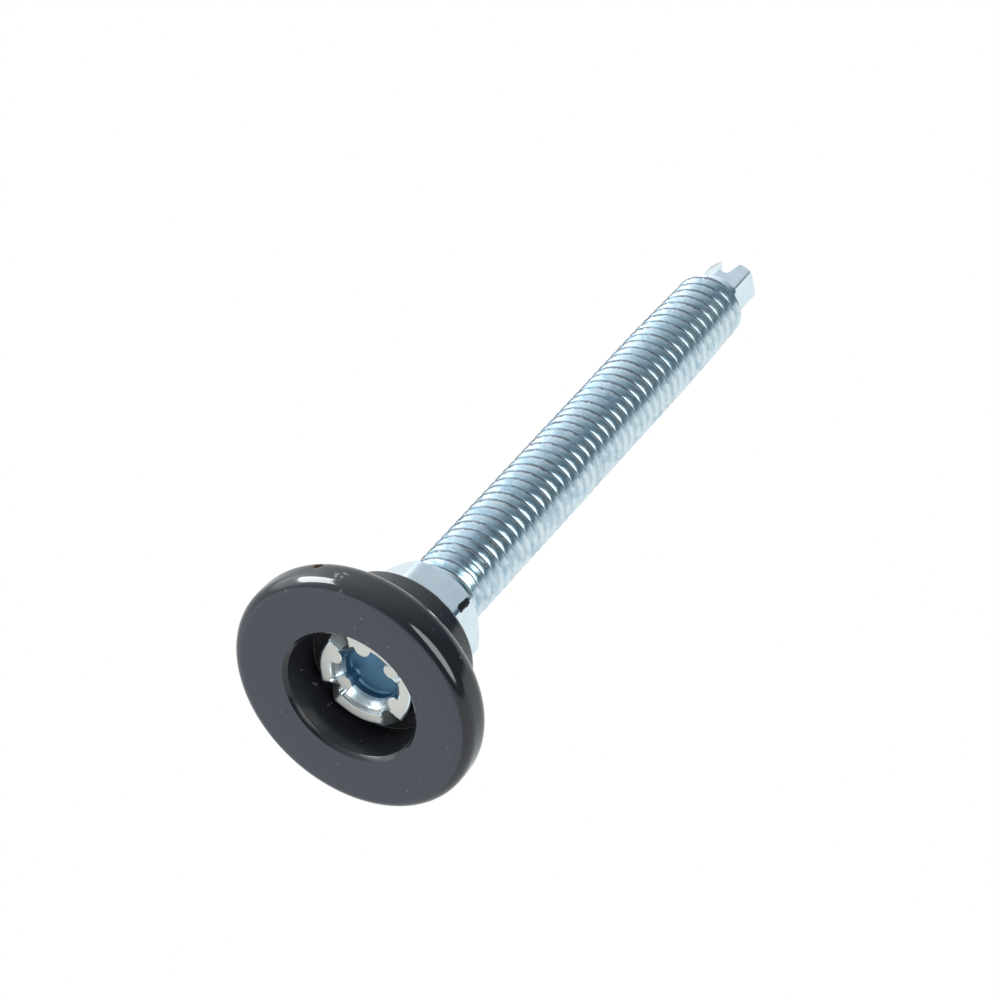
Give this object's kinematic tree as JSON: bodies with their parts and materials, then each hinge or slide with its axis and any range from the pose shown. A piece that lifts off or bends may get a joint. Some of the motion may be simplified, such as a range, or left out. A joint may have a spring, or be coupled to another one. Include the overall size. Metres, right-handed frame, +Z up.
{
  "type": "levelling foot",
  "caption": "Furniture levelling foot: a steel spindle with a long metric thread and hexagon collar turning in a round black plastic pad.",
  "frame": {"origin": "on the floor, under the middle of the pad's flat underside", "axes": "+Z up along the spindle, +X through two corners of the hexagon at the tip"},
  "size_m": [0.0195, 0.0194, 0.0591],
  "materials": {
    "pad_plastic": "glossy black moulded plastic with small moulding scuffs",
    "zinc_steel": "bright blue-passivated zinc plating on cold-formed steel"
  },
  "bodies": {
    "pad": {"foot_pad": "pad_plastic"},
    "spindle": {"threaded_spindle": "zinc_steel"}
  },
  "joints": [
    {"name": "spindle_turn", "type": "hinge", "parent": "pad", "child": "spindle", "pos_m": [0, 0, 0.00575], "axis": [0, 0, 1], "continuous": true}
  ]
}
